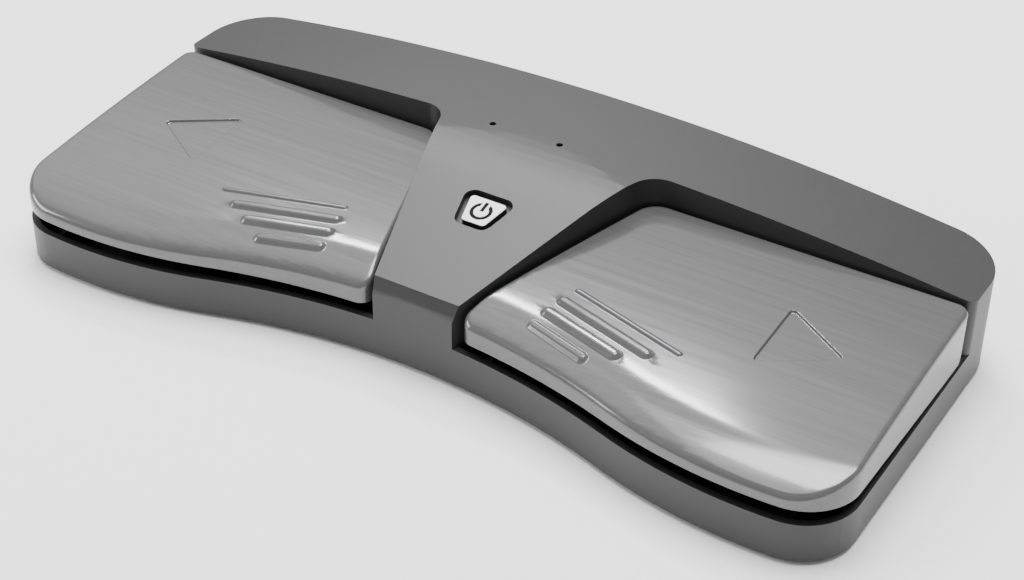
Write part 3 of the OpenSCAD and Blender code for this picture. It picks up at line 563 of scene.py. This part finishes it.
def cut_middle(bm, middle):
    """Cuts the flat middle finely enough for the ribs, the triangle and the roll."""
    middle.material_index = 1
    along = Vector((math.cos(RIB_ANGLE), -math.sin(RIB_ANGLE)))
    across = Vector((math.sin(RIB_ANGLE), math.cos(RIB_ANGLE)))
    start = Vector(RIB_START)
    # The turned rectangle that holds the bars, from the first one's start
    low, high, left, right = -21.6, 3.3, -7.5, 42.5
    rows, columns = 30, 25
    everywhere = lambda c: True
    among_ribs = lambda c: (low < (c.xy - start).dot(across) < high and
                            left < (c.xy - start).dot(along) < right)
    for offset, normal in ((low, across), (high, across), (left, along), (right, along)):
        cut(bm, flat_faces(bm, everywhere), start + normal * offset, normal)
    for i in range(1, rows):
        cut(bm, flat_faces(bm, among_ribs), start + across * (low + (high - low) * i / rows), across)
    for i in range(1, columns):
        cut(bm, flat_faces(bm, among_ribs), start + along * (left + (right - left) * i / columns), along)
    for k, rise in enumerate(RIB_RISE):
        first, last = rib_line(k)
        spread = rib_spread(rise)
        reach = RIB_TOP[k] + spread + 0.5
        steps = [RIB_TOP[k] * 0.5] + [RIB_TOP[k] + spread * share for share in RIB_CUTS]
        steps += [-step for step in steps]
        near = lambda c: segment_distance(c.xy, first, last) < reach
        for step in steps:
            cut(bm, flat_faces(bm, near), first + across * step, across)
        for end in (first, last):
            close = lambda c: (c.xy - end).length < reach
            for step in steps:
                cut(bm, flat_faces(bm, close), end + along * step, along)
    elsewhere = lambda c: not among_ribs(c)
    for i in range(82):
        cut(bm, flat_faces(bm, elsewhere), (17.3 + PLATE_GRID * i, 0), (1, 0))
    for i in range(61):
        cut(bm, flat_faces(bm, elsewhere), (0, -62.6 + PLATE_GRID * i), (0, 1))
    corners = [Vector(c) for c in TRIANGLE]
    for i in range(3):
        first, last = corners[i], corners[(i + 1) % 3]
        side = (last - first).normalized()
        normal = Vector((side.y, -side.x))
        if normal.dot(corners[i - 1] - first) > 0:
            normal.negate()
        close = lambda c: segment_distance(c.xy, first, last) < 2.2
        for offset in WALL_CUTS:
            cut(bm, flat_faces(bm, close), first + normal * offset, normal)
    middle_of_it = sum(corners, Vector((0, 0))) / 3
    for corner in corners:
        centre = corner + (middle_of_it - corner).normalized() * 2 * TRIANGLE_ROUND
        close = lambda c: (c.xy - centre).length < TRIANGLE_ROUND + 0.6
        for i in range(-8, 9):
            cut(bm, flat_faces(bm, close), centre + Vector((CORNER_GRID * i, 0)), (1, 0))
            cut(bm, flat_faces(bm, close), centre + Vector((0, CORNER_GRID * i)), (0, 1))


def skirt_foot(y):
    """The skirt's lower edge: level when the pedal is pressed, so it rises to the front at rest."""
    return HINGE_H + (SKIRT_H - HINGE_H) / math.cos(TRAVEL) + (HINGE_Y - y) * math.tan(TRAVEL)


def stand_boss(bm, x, y):
    """A screw boss with a blind hole: it leans with the raised carrier and ends inside the plate's roof."""
    lean = Matrix.Rotation(-TRAVEL, 4, "X")
    hinge = Vector((0, HINGE_Y, HINGE_H))
    top = pedal_height(x, y) - PLATE_T + 0.7 - (HINGE_Y - y) * math.tan(TRAVEL)
    loops = []
    for radius, height in ((BOSS_R, top), (BOSS_R, BOSS_FOOT + 0.3), (BOSS_R - 0.3, BOSS_FOOT),
                           (BOSS_HOLE_R, BOSS_FOOT), (BOSS_HOLE_R, BOSS_FOOT + BOSS_HOLE)):
        loops.append([bm.verts.new(hinge + lean @ (Vector((p.x, p.y, height)) - hinge))
                      for p in arc_points((x, y), radius, 0, 2 * math.pi, BOSS_SIDES)])
    for upper, lower in zip(loops, loops[1:]):
        for i in range(BOSS_SIDES):
            bm.faces.new((upper[i - 1], upper[i], lower[i], lower[i - 1]))
    bm.faces.new(loops[0])
    bm.faces.new(loops[-1][::-1])


def press_pedal_plate():
    """The right pedal's plate as one closed shell: top, rounded edge, skirt, and the hollow below."""
    bm = bmesh.new()
    rows = []
    for step in range(EDGE_STEPS, -1, -1):
        turn = math.pi / 2 * step / EDGE_STEPS
        rows.append((EDGE_R * (1 - math.cos(turn)), lambda p, drop=EDGE_R * (1 - math.sin(turn)):
                     pedal_height(p.x, p.y) - drop))
    rows.append((0.0, lambda p: pedal_height(p.x, p.y) - EDGE_R - 0.25))
    for step in range(FOOT_STEPS + 1):
        turn = math.pi / 2 * step / FOOT_STEPS
        rows.append((FOOT_R * (1 - math.cos(turn)), lambda p, rise=FOOT_R * (1 - math.sin(turn)):
                     skirt_foot(p.y) + rise))
    rows.append((SKIRT_T, lambda p: skirt_foot(p.y)))
    rows.append((SKIRT_T, lambda p: pedal_height(p.x, p.y) - PLATE_T))
    heights = {}
    loops = []
    for inset, height in rows:
        loop = []
        for point in pedal_outline(inset):
            vert = bm.verts.new((point.x, point.y, 0))
            heights[vert] = height(point)
            loop.append(vert)
        loops.append(loop)
    count = len(loops[0])
    for upper, lower in zip(loops, loops[1:]):
        for i in range(count):
            bm.faces.new((upper[i], upper[i - 1], lower[i - 1], lower[i]))
    roof = bm.faces.new(loops[-1][::-1])
    for vert, height in heights.items():
        vert.co.z = height
    middle = bm.faces.new(loops[0])
    fixed = set(heights)
    cut_middle(bm, middle)
    for face in flat_faces(bm, lambda c: True):
        for vert in face.verts:
            if vert not in fixed:
                fixed.add(vert)
                place = vert.co.xy
                vert.co.z = pedal_height(*place) + rib_height(place) - sunk(place)
        face.material_index = 0
    roof.material_index = 1
    for i in range(1, 18):
        cut(bm, flat_faces(bm, lambda c: True), (20 + 6.7 * i, 0), (1, 0))
        cut(bm, flat_faces(bm, lambda c: True), (0, -60 + 5 * i), (0, 1))
    for face in flat_faces(bm, lambda c: True):
        for vert in face.verts:
            if vert not in fixed:
                vert.co.z = pedal_height(*vert.co.xy) - PLATE_T
        face.material_index = 0
    for x, y in BOSSES:
        stand_boss(bm, x, y)
    bmesh.ops.recalc_face_normals(bm, faces=bm.faces)
    bm.verts.index_update()
    data = bpy.data.meshes.new("pedal_plate")
    bm.to_mesh(data)
    bm.free()
    return data


def fit_pedal_plates():
    pressed = press_pedal_plate()
    for side, sign in zip(SIDES, (-1, 1)):
        name = side + "_pedal_plate"
        data = pressed.copy()
        data.transform(Matrix.Diagonal((sign * MM, MM, MM, 1)) @ Matrix.Translation((0, 0, FOOT_DROP)))
        if sign < 0:
            data.flip_normals()
        piece = bpy.data.objects.new(name + "_pressing", data)
        bpy.context.scene.collection.objects.link(piece)
        bpy.ops.object.select_all(action="DESELECT")
        bpy.context.view_layer.objects.active = piece
        piece.select_set(True)
        settle(piece, name, smooth=35)
    bpy.data.meshes.remove(pressed)


place_camera()
light_studio()
FINISH = mix_finishes()
SLOT = {row["node"]: row["material_slot"] for row in frame["record"]["subparts"]}
lay_floor()
for node_name, node in NODES.items():
    dress(node, SLOT[node_name])
softened("upper_housing", 0.9)
fit_pedal_plates()
softened("power_button", 0.16)
wind_springs()
